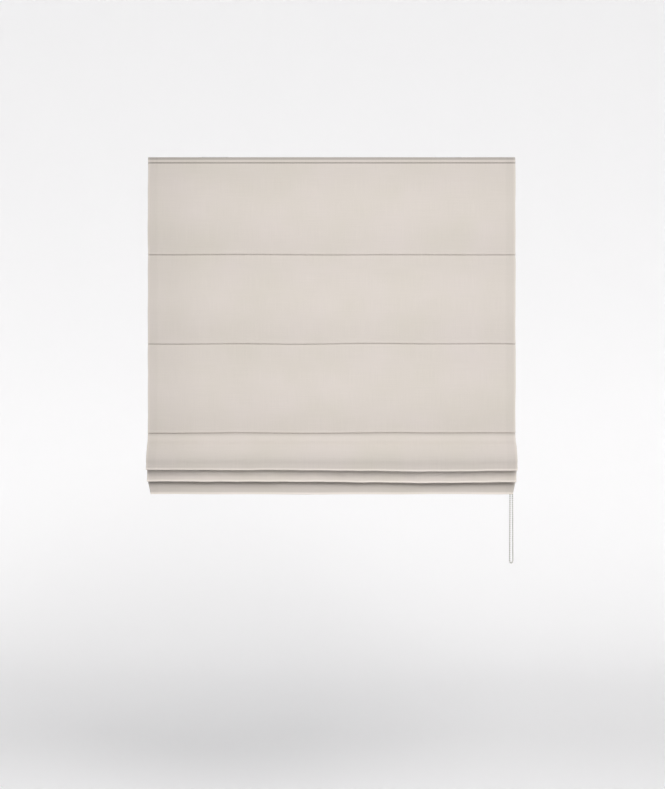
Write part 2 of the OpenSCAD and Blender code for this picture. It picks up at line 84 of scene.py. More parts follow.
def wire(node, wires):
    """Fills inputs of a node, by name or number, each with a socket to link, a hex colour or a plain value."""
    for name, value in wires.items():
        if isinstance(value, str) and value.startswith("#"):
            value = linear(value)
        if isinstance(value, bpy.types.NodeSocket):
            node.id_data.links.new(value, node.inputs[name])
        else:
            node.inputs[name].default_value = value


def add(tree, kind, wires=None, **settings):
    """Adds a node with its inputs and its settings."""
    made = tree.nodes.new(kind)
    for name, value in settings.items():
        setattr(made, name, value)
    wire(made, wires or {})
    return made


def material(name, hex_colour, roughness, **constants):
    """A material with its shader's plain values set: (material, tree, shader)."""
    made = bpy.data.materials.new(name)
    made.use_nodes = True
    made.diffuse_color = linear(hex_colour)
    shader = made.node_tree.nodes["Principled BSDF"]
    wire(shader, {"Base Color": hex_colour, "Roughness": roughness})
    wire(shader, {key.replace("_", " "): value for key, value in constants.items()})
    return made, made.node_tree, shader


def mesh_object(name, points, faces, finish):
    """An object at the origin from points in metres and lists of corner numbers, all of one material."""
    mesh = bpy.data.meshes.new(name)
    mesh.from_pydata([tuple(p) for p in points], [], [tuple(f) for f in faces])
    mesh.polygons.foreach_set("use_smooth", [True] * len(mesh.polygons))
    mesh.materials.append(finish)
    return placed(name, mesh)


# Matt white paint: no gloss, so the sweep shows no highlight.
paint, _, _ = material("matt_white_paint", "#FAFAFB", 0.9)
floor_front, floor_z, wall_y, wall_top, cove_r, half_floor = -1.4, -2.4, 5.6, 4.5, 2.0, 9.0
sweep = [(floor_front, floor_z)]
sweep += [(wall_y - cove_r + cove_r * math.sin(a), floor_z + cove_r - cove_r * math.cos(a))
          for a in np.linspace(0, math.pi / 2, 17)]
sweep += [(wall_y, wall_top)]
sweep_points = [(x, y, z) for y, z in sweep for x in (-half_floor, half_floor)]
floor = mesh_object("pale_floor", sweep_points,
                    [(2 * i, 2 * i + 1, 2 * i + 3, 2 * i + 2) for i in range(len(sweep) - 1)], paint)

# Even room light: dim as a light, pale to look at.
sky_lights, sky_shows = 0.3, 0.9
world = bpy.data.worlds.new("soft_room_light")
world.use_nodes = True
seen = add(world.node_tree, "ShaderNodeLightPath").outputs["Is Camera Ray"]
sky = add(world.node_tree, "ShaderNodeMapRange", {"Value": seen, "To Min": sky_lights, "To Max": sky_shows})
wire(world.node_tree.nodes["Background"], {"Color": "#FDFDFF", "Strength": sky.outputs[0]})
bpy.context.scene.world = world


def lamp(name, kind, energy, turn):
    """A light turned by angles in degrees; at no angle it shines straight down."""
    made = placed(name, bpy.data.lights.new(name, kind))
    made.data.energy = energy
    made.rotation_euler = [math.radians(angle) for angle in turn]
    return made


# A broad, slightly warm light from the room, above and a little to the right.
key_light = lamp("key_light", "SUN", 1.85, (60, 0, 12))
key_light.data.angle = math.radians(36)
key_light.data.color = (1.0, 0.99, 0.975)
# A small lamp that lifts the upper panels.
near_light = lamp("near_light", "AREA", 6.0, (90, 0, 0))
near_light.data.size = 0.6
near_light.location = (0.16, -1.5, -0.28)
# A light from behind for the lining and the rail's back.
back_light = lamp("back_light", "SUN", 1.3, (-34, 0, 0))
back_light.data.angle = math.radians(20)

# ----------------------------------------
# Face fabric: one length of matt linen-look cloth in plain weave, cut wider and longer than the blind.
# Its side edges are folded 30 mm to the back, its top is turned in behind the tape and its bottom is
# turned up round the bar. It is stitched through at each rod, and the two lower panels hang in folds.
MM = 0.001
# Sizes are in mm. A route down the blind is a list of states [forward, height, heading in degrees], where
# forward is into the room from the flat panels and -90 heads straight down.
blind_w, gathered_h, hem_drop = 1100, 250, 135
fabric_t, lining_t, side_hem_w, turn_in_h, turn_up_h, corner_draw = 1.2, 0.6, 30, 22, 46, 8
first_belly, first_nose, second_belly, second_nose = 53, 64, 36, 10.8
fold_r, lip_back, crease_r, crease_slope, lean_r, lean = 2.8, 3.5, 1, 35, 6, 28
ply_room = 5.4  # between the front and the back of a fold, for the lining and the side hems
rail_d, tape_h, tape_t, rod_d, bar_t, bar_h, loose = 38, 16, 1.3, 4, 3, 25, 0.3
half_t = fabric_t / 2
turn_r = (fabric_t + 0.2) / 2
fabric_y = -rail_d / 2 - 2 * tape_t - 2 * turn_r - half_t
fabric_top = -1.9
rod_off = half_t + lining_t + rod_d / 2 + loose + lining_t - 0.1
rod_z = [(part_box(f"rod_{n}")[0].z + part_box(f"rod_{n}")[1].z) / 2 / MM for n in range(1, 6)]


def heading(a):
    """A step of 1 in a direction given in degrees."""
    return np.array([math.cos(math.radians(a)), math.sin(math.radians(a))])


def curve(a, b, reach, steps=12):
    """States after a, up to b, on a smooth cubic whose handles are reach times the distance long."""
    pa, pb = np.array(a[:2], float), np.array(b[:2], float)
    pull = reach * np.linalg.norm(pb - pa)
    p = [pa, pa + pull * heading(a[2]), pb - pull * heading(b[2]), pb]
    out = []
    for i in range(1, steps + 1):
        t = i / steps
        u = 1 - t
        q = u ** 3 * p[0] + 3 * u * u * t * p[1] + 3 * u * t * t * p[2] + t ** 3 * p[3]
        v = u * u * (p[1] - p[0]) + 2 * u * t * (p[2] - p[1]) + t * t * (p[3] - p[2])
        out.append([q[0], q[1], math.degrees(math.atan2(v[1], v[0]))])
    return out


def bend(centre, r, first, last, steps):
    """States on an arc round a centre, from one angle in degrees to another."""
    turned = 90 if last > first else -90
    angles = [first + (last - first) * i / steps for i in range(steps + 1)]
    return [[centre[0] + r * math.cos(math.radians(a)), centre[1] + r * math.sin(math.radians(a)), a + turned]
            for a in angles]


def crease(n):
    """The tight turn round the front of rod n, counted from 0, where cloth and pocket are sewn together."""
    centre = np.array([-rod_off, rod_z[n]]) + (crease_r + rod_off) * heading(-crease_slope)
    return bend(centre, crease_r, 90 - crease_slope, 270 - crease_slope, 8)


def length_of(path):
    """The length of cloth in a path, in mm."""
    return sum(math.dist(a[:2], b[:2]) for a, b in zip(path, path[1:]))


def fold(start, belly, level, bottom, finish):
    """One fold: out to the belly, down, round the bottom and back up inside to the next crease."""
    front, turn = [belly, level, -90], [belly - lip_back - fold_r, bottom + fold_r]
    back = [belly - ply_room, level - ply_room / 2, 90]
    under = bend(turn, fold_r, 0, -180, 12)
    return (curve(start, front, 0.56) + curve(front, under[0], 0.4, 18) + under
            + curve(under[-1], back, 0.35, 14) + curve(back, finish, 0.56))


def settled(start, belly, level, finish):
    """The fold let down until the panel uses its whole length."""
    low, high = rod_z[2] - gathered_h, level
    for _ in range(24):
        middle = (low + high) / 2
        used = length_of([start] + fold(start, belly, level, middle, finish))
        low, high = (middle, high) if used > gathered_h - crease_r * math.pi else (low, middle)
    return middle, fold(start, belly, level, middle, finish)


# The cloth leans out over the third rod into the first fold, and each fold ends at its crease.
lean_arc = bend([lean_r, rod_z[2]], lean_r, 180, 180 + lean, 6)
crease_4, crease_5 = crease(3), crease(4)
first_bottom, first_fold = settled(lean_arc[-1], first_belly, rod_z[2] - first_nose, crease_4[0])
second_level = rod_z[3] - second_belly - second_nose
second_bottom, second_fold = settled(crease_4[-1], second_belly, second_level, crease_5[0])

# The hem hangs straight under the fifth rod, goes round the bar and is stitched to itself above it.
hem_forward, hem_z, upturn_seam_h = 3, rod_z[4] - hem_drop, 8
hem_r = (bar_t + 2 * loose + fabric_t) / 2
hem_bend = bend([hem_forward - hem_r, hem_z + half_t + hem_r], hem_r, 0, -180, 12)
upturn_top = hem_z + turn_up_h
upturn_side = [hem_forward - 2 * hem_r, hem_z + half_t + hem_r + bar_h + loose, 90]
upturn_stitch = [hem_forward - 2 * turn_r, upturn_top - upturn_seam_h, 90]


def down_to(a, b, step):
    """Heights from a down to b, at most a step apart."""
    count = max(1, math.ceil((a - b) / step))
    return [a + (b - a) * i / count for i in range(count + 1)]


# The header is sewn just under the tape, and the other seams run along the three upper rods. Rows of
# points close in on each seam, and lie up to 7 mm apart between them.
seams = [fabric_top - tape_h - 0.8, *rod_z[:3]]
near_seam, row_step = (14, 10, 7, 5, 3.4, 2.2, 1.2, 0.5), 7
heights = {seam + way * gap for seam in seams for way in (-1, 1) for gap in near_seam}
heights = {h for h in heights if h > rod_z[2] + 0.4} | set(seams[:3])
for top, low in zip(seams, seams[1:]):
    heights |= set(down_to(top - 3, low + near_seam[0], row_step))
heights = sorted(heights, reverse=True)
flat_part = [[0, h, -90] for i, h in enumerate(heights) if i == 0 or heights[i - 1] - h > 0.3]

# The turned-in top and its bend; the run down to the hem; and the turn-up behind it.
top_bend = bend([-turn_r, fabric_top - half_t - turn_r], turn_r, 180, 0, 8)
turn_in_run = turn_in_h - half_t - turn_r
turn_in = [[-2 * turn_r, fabric_top - turn_in_h + turn_in_run * i / 4, 90] for i in range(4)]
hem_end = [hem_forward, rod_z[4] - 32, -90]
hem_run = curve(crease_5[-1], hem_end, 0.4, 14)
hem_run += [[hem_forward, hem_end[1] + (hem_bend[0][1] - hem_end[1]) * i / 18, -90] for i in range(1, 18)]
bar_side = upturn_side[1] - hem_bend[-1][1]
upturn = [[upturn_side[0], hem_bend[-1][1] + bar_side * i / 6, 90] for i in range(1, 7)]
upturn += curve(upturn_side, upturn_stitch, 0.4, 6)
upturn += [[upturn_stitch[0], upturn_top - 4, 90], [upturn_stitch[0], upturn_top, 90]]


def without_repeats(path):
    """The path without any state that lies where the one before it does."""
    return [s for i, s in enumerate(path) if i == 0 or math.dist(s[:2], path[i - 1][:2]) > 0.02]


# The cloth's route comes in two, parted in the middle of the fourth rod's crease.
upper_route = without_repeats(turn_in + top_bend + flat_part + lean_arc + first_fold + crease_4[:5])
lower_route = without_repeats(crease_4[4:] + second_fold + crease_5 + hem_run + hem_bend + upturn)


def ripple(seed, x, waves, size):
    """A smooth, seeded wander along x (mm): the sum of sines with the given wavelengths."""
    pick = random.Random(seed)
    total = np.zeros_like(x, float)
    for wave in waves:
        much, length, shift = pick.uniform(0.5, 1.0), wave * pick.uniform(0.85, 1.15), pick.random()
        total += much * np.sin(2 * math.pi * (x / length + shift))
    return size * total / math.sqrt(len(waves))


def slope(x, places, values):
    """A soft curve through a few values across the blind's width."""
    fine = np.interp(x, places, values)
    wide = sum(np.interp(x + d, places, values) for d in (-80, -40, 40, 80)) / 4
    return 0.4 * fine + 0.6 * wide


def seam_drop(x, i, size):
    """How far the stitches of a seam lie below the middle of its rod, in mm, downwards negative."""
    return ripple(61 + i, x, (420, 760, 1500), size) - 2.0


def panel_hang(x, h):
    """How the flat panels hang at x and height h, in mm: (forward, down) shifts from their route."""
    forward, drop = np.zeros_like(x), np.zeros_like(x)
    under_top = fabric_top - h
    forward += 3.3 * np.clip((under_top - 3) / 10, 0, 1) ** 1.4 * np.clip((19.2 - under_top) / 4.8, 0, 1)
    for i, (top, low) in enumerate(zip(seams, seams[1:])):
        inside = (h <= top) & (h >= low)
        t = np.clip((top - h) / (top - low), 0, 1)
        below, over = np.maximum(top - h, 0), np.maximum(h - low, 0)
        near = np.maximum(np.minimum(top - h, h - low), 0)
        # The panel swells out as a whole, and rolls out close over each seam.
        swell = 6.4 + ripple(11 + i, x, (310, 520, 900), 1.2)
        pillow = 2.8 * (1 - np.exp(-below / 9)) * (1 - np.exp(-over / 0.9))
        pillow = pillow + 0.9 * np.exp(-((over - 3.5) / 3) ** 2)
        bulge = swell * np.sin(math.pi * t ** 0.85) + pillow
        # Slow waves cross the panel, and small puckers gather along its seams.
        bulge += np.sin(math.pi * t) * (ripple(31 + i, x + 0.6 * h, (170, 260, 430), 0.55)
                                        + ripple(41 + i, h + 0.3 * x, (140, 210), 0.4))
        puckers = np.exp(-near / 9) * (1 - np.exp(-near / 2.5))
        bulge += puckers * ripple(51 + i, x, (19, 27, 41), 0.22)
        forward = np.where(inside & (h < top), np.maximum(bulge, 0.0), forward)
    for i, (level, size) in enumerate(zip(seams[1:], (0.8, 1.4, 1.4))):
        drop += np.exp(-((h - level) / 45) ** 2) * seam_drop(x, i, size)
    return forward, drop


# A fold's bottom, how far its lip lies over or under that at these places across the blind, the size of
# the rumples in its front, and its seed. True is the first fold.
wave_places = [-550, -330, -100, 0, 130, 220, 330, 420, 550]
fold_parts = {True: (first_bottom, [1.6, 1.0, 0.8, -0.4, -1.6, -3.2, -3.6, -2.6, -0.4], 0.4, 90),
              False: (second_bottom, [-1.2, -1.8, -2.0, -2.8, -4.2, -5.6, -6.0, -4.8, -2.6], 1.1, 110)}


def fold_hang(x, h, part, share=1.0):
    """The same shifts for a fold, and how much of them is wanted."""
    forward, drop = np.zeros_like(x), np.zeros_like(x)
    bottom, lip_shifts, rumpled, seed = part
    low = np.clip((bottom + 95 - h) / 95, 0, 1)
    ease = low * low * (3 - 2 * low) * share
    drop += ease * (slope(x, wave_places, lip_shifts) + ripple(seed, x, (95, 160, 240), 0.5))
    above = h - bottom
    forward += share * (-3.4 * np.exp(-((above - 17) / 9) ** 2) + 1.3 * np.exp(-(above / 6) ** 2))
    forward += ease * ripple(seed + 5, x, (280, 460, 800), 1.1)
    rumples = ripple(seed + 9, x + 0.5 * h, (70, 110, 190), rumpled)
    forward += share * np.exp(-((above - 25) / 30) ** 2) * rumples
    return forward, drop


def leaned_in(f, h, a):
    """The folds start closer to the rods than stiff card would, with the same room between front and back."""
    share = np.interp(rod_z[2] - h, (-5, 0, 26, 50, 75, 92, 110), (0, 0.5, 0.52, 0.4, 0.2, 0.08, 0))
    back = 1.0 if a > 0 else min(1.0, max(0.0, (-90 - a) / 180))
    return f * (1 - share) - ply_room * share * back * min(1.0, max(0.0, f / 12))


def cloth_shape(x, route, first, start, end):
    """Each row of the cloth's middle, its hang added, as (forward, height). The fold is rows start to end."""
    rows = []
    for k, (f, h, a) in enumerate(route):
        column_h = np.full_like(x, h)
        forward, drop, set_back = np.zeros_like(x), np.zeros_like(x), 0
        if first and k < start:
            forward, drop = panel_hang(x, column_h)
        elif start <= k <= end:
            t = (k - start) / (end - start)
            share = min(1.0, 4 * t, 5 * (1 - t))
            if share > 0:
                forward, drop = fold_hang(x, column_h, fold_parts[first], share * share * (3 - 2 * share))
            if first:  # the third seam's wander fades out in the fold's first rows
                fade = max(0.0, 1 - (k - start) / 12)
                drop = drop + fade * fade * seam_drop(x, 2, 1.4)
            else:
                set_back = share * np.interp(rod_z[2] - h, (60, 105), (0, 7))
        rows.append((leaned_in(f, h, a) - set_back + forward, h + drop))
    return rows


def hem_sway(x, h, a):
    """The hem hangs nearly straight, with a slight wave; its front rolls out a little over the bottom edge."""
    t = np.clip((rod_z[4] - 20 - h) / 80, 0, 1)
    front = min(1.0, max(0.0, 1 - (-90 - a) / 120)) if a <= -90 else 0.0
    rolled = 1.5 * front * np.exp(-((h - hem_z - 1) / 5.5) ** 2)
    return t * ripple(130, x, (360, 640), 0.9) + rolled, t * ripple(134, x, (300, 700), 0.7)


def lay_flat(made, places):
    """Gives each corner the place that its point has on the flat cloth, in metres."""
    corner = np.zeros(len(made.data.loops), np.int32)
    made.data.loops.foreach_get("vertex_index", corner)
    uv = made.data.uv_layers.new(name="flat_cloth")
    uv.data.foreach_set("uv", places[corner].astype(np.float32).ravel())


def sheet_mesh(name, route, outline, first, finish, trim, first_row=0, last_row=None):
    """Sweeps an outline, two lists of (x, depth), along a route with the cloth's hang, and keeps some rows.

    The side hems are pressed to the depth trim in the turned-in top, and open up again below it.
    """
    outer, inner = outline
    loop = outer + inner[::-1]
    x, depth = np.array([p[0] for p in loop]), np.array([p[1] for p in loop])
    if first:
        start, end = next(i for i, s in enumerate(route) if s[2] > -90 and i > 20), len(route) - 5
    else:
        start, end = 4, next(i for i, s in enumerate(route) if math.dist(s[:2], crease_5[0][:2]) < 0.05)
    rows = cloth_shape(x, route, first, start, end)
    hem_depth, draw_from, sides_from = 2.9, 520, 400
    edge = np.clip((np.abs(x) - sides_from) / 150, 0, 1) ** 2
    count, points, run, along = len(loop), [], 0.0, []
    for k, ((f, h, a), (row_f, row_h)) in enumerate(zip(route, rows)):
        if k:
            run += math.dist(route[k][:2], route[k - 1][:2])
        thin, side_x = depth, x
        if first:
            open_up = np.clip((fabric_top - 4 - h) / 6, 0, 1) if a < 0 or k > start else 0.0
            thin = np.maximum(depth, trim - (trim + hem_depth) * open_up) if open_up < 1 else depth
        elif k > end:  # the hem sways, and its corners draw in
            forward, drop = hem_sway(x, np.full_like(x, h), a)
            row_f, row_h = row_f + forward, row_h + drop
            draw = corner_draw * np.clip((second_bottom - 2 - h) / (second_bottom - hem_z), 0, 1)
            side_x = np.sign(x) * (np.abs(x) - np.maximum(np.abs(x) - draw_from, 0) * draw / 30)
        # The side edges wander a little on their way down, and less where the tape holds them.
        wander = np.sin(run / 47 + np.sign(x)) + 0.6 * np.sin(run / 19 + 2 * np.sign(x))
        side_x = side_x + edge * 0.55 * wander * (0.35 if h > fabric_top - 20 else 1)
        n = heading(a + 90)
        points.append(np.stack([side_x, fabric_y - (row_f + thin * n[0]), row_h + thin * n[1]], 1))
        along.append(run)
    kept = slice(first_row, (len(route) if last_row is None else last_row + 1))
    points, along = np.concatenate(points[kept]) * MM, along[kept]
    faces = []
    for k in range(len(along) - 1):
        base, following = k * count, (k + 1) * count
        faces += [(base + m, following + m, following + (m + 1) % count, base + (m + 1) % count)
                  for m in range(count)]
    last, swept = (len(along) - 1) * count, len(faces)
    for m in range(len(outer) - 1):
        faces.append((m, m + 1, count - 2 - m, count - 1 - m))
        faces.append((last + m + 1, last + m, last + count - 1 - m, last + count - 2 - m))
    made = mesh_object(name, points, faces, finish)
    made.data.polygons.foreach_set("use_smooth", [i < swept for i in range(len(faces))])
    lay_flat(made, np.stack([np.tile(x, len(along)) * MM, np.repeat(along, count) * MM], 1))
    made.data["length_mm"] = along[-1] - along[0]
    return made


def back_of_fold(route, bottom):
    """The row 10 mm up the inside of the fold whose lowest point is at this height: where its pieces part."""
    low = next(i for i, s in enumerate(route) if abs(s[1] - bottom) < 0.3 and -200 < s[2] < -170)
    return next(i for i in range(low, len(route)) if route[i][1] > bottom + 10)


def hemmed_outline(half_w, hem_w, step):
    """Outline across the cloth with both side edges folded to the back: (face side, inner side)."""
    edge = half_w - turn_r - half_t
    columns = list(np.linspace(-edge, edge, max(2, round(2 * edge / step)) + 1))
    back = list(np.linspace(half_w - hem_w, edge, 6))
    outer, inner = [], []
    for r, side in ((turn_r + half_t, outer), (turn_r - half_t, inner)):
        side += [(-b, -turn_r - r) for b in back[:-1]]
        side += [(-edge - r * math.sin(a), -turn_r - r * math.cos(a)) for a in np.linspace(0, math.pi, 7)]
        side += [(c, r - turn_r) for c in columns[1:-1]]
        side += [(edge + r * math.sin(a), -turn_r + r * math.cos(a)) for a in np.linspace(0, math.pi, 7)]
        side += [(b, -turn_r - r) for b in back[:-1][::-1]]
    return outer, inner


def cloth_pieces(name, upper, lower, outline, finish, trim):
    """The four pieces of a cloth, each fold parted into its front and its back, which move apart."""
    first_cut, second_cut = back_of_fold(upper, first_bottom), back_of_fold(lower, second_bottom)
    return (sheet_mesh(f"{name}_panels", upper, outline, True, finish, trim, 0, first_cut),
            sheet_mesh(f"{name}_first_fold_back", upper, outline, True, finish, trim, first_cut),
            sheet_mesh(f"{name}_second_fold", lower, outline, False, finish, trim, 0, second_cut),
            sheet_mesh(f"{name}_hem", lower, outline, False, finish, trim, second_cut))


# Linen-look cloth, plain weave in slubby yarn, undyed beige: matt, with a soft nap at grazing angles,
# faint thicker yarns across it and a very slow change of tone. Real yarns stand 0.45 mm apart; the
# weave is drawn at 1.1 mm so that it still shows from a step away.
linen, tree, shader = material("woven_linen_look_cloth", "#D4CCC3", 0.92, Sheen_Weight=0.12, Sheen_Roughness=0.5,
                               Specular_IOR_Level=0.18)
flat = add(tree, "ShaderNodeUVMap", uv_map="flat_cloth").outputs["UV"]
across = add(tree, "ShaderNodeMapping", {"Vector": flat, "Scale": (9.0, 900.0, 1.0)}).outputs[0]
up = add(tree, "ShaderNodeMapping", {"Vector": flat, "Scale": (900.0, 14.0, 1.0)}).outputs[0]
weft = add(tree, "ShaderNodeTexNoise", {"Vector": across, "Scale": 1.0, "Detail": 2.0})
warp = add(tree, "ShaderNodeTexNoise", {"Vector": up, "Scale": 1.0, "Detail": 2.0})
picks = add(tree, "ShaderNodeTexWave", {"Vector": flat, "Scale": 144.0, "Distortion": 0.6, "Detail": 1.0},
            wave_type="BANDS", bands_direction="Y")
ends = add(tree, "ShaderNodeTexWave", {"Vector": flat, "Scale": 144.0, "Distortion": 0.6, "Detail": 1.0},
           wave_type="BANDS", bands_direction="X")
weave = add(tree, "ShaderNodeMath", {0: picks.outputs["Fac"], 1: ends.outputs["Fac"]}, operation="MULTIPLY")
yarns = add(tree, "ShaderNodeMath", {0: weft.outputs["Fac"], 1: warp.outputs["Fac"]}, operation="ADD")
slubs = add(tree, "ShaderNodeMapRange", {"Value": yarns.outputs[0], "From Min": 0.75, "From Max": 1.25,
                                         "To Min": -1.0, "To Max": 1.0})
tone = add(tree, "ShaderNodeTexNoise", {"Vector": flat, "Scale": 6.0, "Detail": 2.0, "Roughness": 0.5})
rosy = add(tree, "ShaderNodeMix", {"Factor": tone.outputs["Fac"], 6: "#D8CFCB", 7: "#CFC9BE"}, data_type="RGBA")
# Painted light and shade, read from the cloth's attribute, darkens or lightens its base colour.
painted_shading_attr = add(tree, "ShaderNodeAttribute", attribute_name="painted_light_and_shade")
yarn_shade, painted_shading_strength = 0.022, -0.085
shade = add(tree, "ShaderNodeMath", {0: slubs.outputs[0], 1: yarn_shade, 2: 1.0}, operation="MULTIPLY_ADD")
yarn_tone_and_painted_shade = add(tree, "ShaderNodeMath", {0: painted_shading_attr.outputs["Fac"], 1: painted_shading_strength, 2: shade.outputs[0]},
          operation="MULTIPLY_ADD")
toned = add(tree, "ShaderNodeVectorMath", {0: rosy.outputs[2], "Scale": yarn_tone_and_painted_shade.outputs[0]}, operation="SCALE")
height = add(tree, "ShaderNodeMath", {0: slubs.outputs[0], 1: 0.5, 2: weave.outputs[0]}, operation="MULTIPLY_ADD")
bump = add(tree, "ShaderNodeBump", {"Strength": 0.25, "Distance": 0.00025, "Height": height.outputs[0]})
wire(shader, {"Base Color": toned.outputs[0], "Normal": bump.outputs[0]})

face_outline = hemmed_outline(blind_w / 2, side_hem_w, 6.2)
face_pieces = cloth_pieces("face_fabric", upper_route, lower_route, face_outline, linen, -half_t)
panels, first_back, second_front, hem = face_pieces

# Painted light and shade in the cloth's colour, in steps counted like plies. Painted shade lies over the side
# hems, in the folds and the hem under them, in a band along the top edge, along the seams and, in a slow step,
# at the left end; painted light lies in the middle of each panel, and painted highlights along the lips of the folds
# and hem.
side_hem_painted_shade, top_band_painted_shade, panel_middle_painted_light, left_end_painted_shade, seam_painted_shadow = 0.3, 3.6, 0.45, 0.45, 2.4
fold_lip_painted_highlight, hem_lip_painted_highlight, hem_painted_shade, second_fold_shade_cap = 3.0, 5.2, 1.7, 0.8
half_w = blind_w / 2
for piece in face_pieces:
    in_first = piece in (panels, first_back)
    place = np.zeros(len(piece.data.vertices) * 3, np.float32)
    piece.data.vertices.foreach_get("co", place)
    x, y, z = (place.reshape(-1, 3) / MM).T
    # Painted shade over the side hems, and a painted highlight on the outermost few mm of each side edge.
    side = np.clip((np.abs(x) - (half_w - side_hem_w) + 2) / 4, 0, 1) - 5 * np.clip(np.abs(x) - (half_w - 3), 0, 1)
    # Painted shade in the folds, deepest in the first, capped lower in the second fold, and extra over the whole hem.
    stack = np.interp(rod_z[2] - z, (10, 60, 85, 105, 118, 135, 190), (0.1, 0.8, 1.8, 2.0, 0.8, 0.6, 0))
    stack = stack if in_first else np.minimum(stack, second_fold_shade_cap)
    if piece == hem:
        stack = stack + hem_painted_shade
    # A band of painted shade along the top of the face, about 9 mm deep.
    top_band = np.clip((z - (fabric_top - 9.5)) / 1.5, 0, 1) * (y < fabric_y + 0.2)
    # Painted light in the middle of each panel.
    between = np.sin(math.pi * np.interp(z, sorted(seams), (3, 2, 1, 0))) ** 2
    # Painted shade towards the left end.
    left = np.clip((-x - 380) / 100, 0, 1)
    painted_shade_sum = side_hem_painted_shade * side + stack + top_band_painted_shade * top_band - panel_middle_painted_light * between + left_end_painted_shade * left
    # A slow step of painted tone: darker above the third rod, lighter below it.
    painted_shade_sum += np.interp(z, (rod_z[2] - 15, rod_z[2] + 5), (-0.2, 0.2))
    # Painted shadow along each seam on the face, deepest under the header.
    seam_shadow_mask = np.zeros(len(z))
    for level, much in zip(seams, (2.6, 1, 1, 1)):
        drop = panel_hang(x, np.full(len(z), level))[1]
        seam_shadow_mask = np.maximum(seam_shadow_mask, much * np.clip(1.5 - np.abs(z - level - drop + 0.8) / 1.2, 0, 1))
    # Painted highlights along the lip of each fold and, broader, along the hem's bottom edge.
    part = fold_parts[in_first]
    level = part[0] + fold_hang(x, np.full(len(z), part[0]), part)[1]
    lip_highlight = fold_lip_painted_highlight * np.clip(1.4 - np.abs(z - level - 2) / 3.3, 0, 1)
    if piece == hem:
        lip_highlight += hem_lip_painted_highlight * np.clip(1.3 - np.abs(z - hem_z - 1.5) / 4.5, 0, 1)
    painted_shade_sum = painted_shade_sum - lip_highlight + seam_painted_shadow * seam_shadow_mask * (y < fabric_y + 0.3)
    attribute = piece.data.attributes.new("painted_light_and_shade", "FLOAT", "POINT")
    attribute.data.foreach_set("value", painted_shade_sum.astype(np.float32))
    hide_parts("face_fabric")


def lets_down(pieces):
    """The front of each fold keeps its place, its transform baked into its points; its back goes with the lower rod.
    """
    upper_front, upper_back, lower_front, lower_back = pieces
    for piece, a, b, top, low in ((upper_front, "hanging_part", "fourth_rod", rod_z[2] - 2, first_bottom + 38),
                                  (lower_front, "fourth_rod", "fifth_rod", rod_z[3] - 6, second_bottom + 44)):
        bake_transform(piece)
    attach(upper_back, "fourth_rod")
    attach(lower_back, "fifth_rod")


lets_down(face_pieces)

# ----------------------------------------
# Stitching: spun polyester thread, a lockstitch through the cloth along the header and each of the
# three upper rods. Each stitch lies sunk in the cloth, 2.6 mm long, one every 3.2 mm.
thread, tree, shader = material("spun_polyester_thread", "#CFC5B8", 0.8, Sheen_Weight=0.2)
where = add(tree, "ShaderNodeTexCoord").outputs["Object"]
twist = add(tree, "ShaderNodeTexWave", {"Vector": where, "Scale": 420.0}, wave_type="BANDS",
            bands_direction="DIAGONAL")
turned = add(tree, "ShaderNodeBump", {"Strength": 0.5, "Distance": 0.0001, "Height": twist.outputs["Fac"]})
twisted = add(tree, "ShaderNodeMix", {"Factor": twist.outputs["Fac"], 6: "#C6BBAD", 7: "#D8CFC3"}, data_type="RGBA")
wire(shader, {"Normal": turned.outputs[0], "Base Color": twisted.outputs[2]})


def grower(name, taken, sizes):
    """An empty Geometry Nodes tree that takes a line and sizes in metres: (group, its input, its output)."""
    group = bpy.data.node_groups.new(name, "GeometryNodeTree")
    group.interface.new_socket(taken, in_out="INPUT", socket_type="NodeSocketGeometry")
    for size, value in sizes.items():
        group.interface.new_socket(size, in_out="INPUT", socket_type="NodeSocketFloat").default_value = value
    group.interface.new_socket("Grown", in_out="OUTPUT", socket_type="NodeSocketGeometry")
    return group, group.nodes.new("NodeGroupInput"), group.nodes.new("NodeGroupOutput")


def grown(name, points, edges, group):
    """Runs a Geometry Nodes tree on a line through points in metres and keeps the result as a plain mesh."""
    line_mesh = bpy.data.meshes.new(f"{name}_line")
    line_mesh.from_pydata(points, edges, [])
    line = placed(f"{name}_line", line_mesh)
    line.modifiers.new("grow", "NODES").node_group = group
    bpy.context.view_layer.update()
    evaluated = line.evaluated_get(bpy.context.evaluated_depsgraph_get())
    mesh = bpy.data.meshes.new_from_object(evaluated)
    bpy.data.objects.remove(line)
    mesh.name = name
    mesh.polygons.foreach_set("use_smooth", [True] * len(mesh.polygons))
    return placed(name, mesh)


def stitch_tree():
    """Lays a short thread at each point of a line, turned along the line."""
    group, given, result = grower("lockstitch", "Line", {"Pitch": 0.0032, "Length": 0.0026, "Thread": 0.00022})
    line = add(group, "GeometryNodeMeshToCurve", {0: given.outputs["Line"]})
    points = add(group, "GeometryNodeCurveToPoints", {0: line.outputs[0], "Length": given.outputs["Pitch"]},
                 mode="LENGTH")
    pill = add(group, "GeometryNodeMeshUVSphere", {"Segments": 6, "Rings": 4, "Radius": given.outputs["Thread"]})
    share = add(group, "ShaderNodeMath", {0: given.outputs["Length"], 1: given.outputs["Thread"]},
                operation="DIVIDE")
    half_share = add(group, "ShaderNodeMath", {0: share.outputs[0], 1: 0.5}, operation="MULTIPLY")
    size = add(group, "ShaderNodeCombineXYZ", {"X": 1.0, "Y": 1.0, "Z": half_share.outputs[0]})
    laid = add(group, "GeometryNodeInstanceOnPoints", {"Points": points.outputs[0], "Instance": pill.outputs[0],
                                                       "Rotation": points.outputs["Rotation"],
                                                       "Scale": size.outputs[0]})
    real = add(group, "GeometryNodeRealizeInstances", {0: laid.outputs[0]})
    finish = add(group, "GeometryNodeSetMaterial", {0: real.outputs[0], "Material": thread})
    wire(result, {0: finish.outputs[0]})
    return group


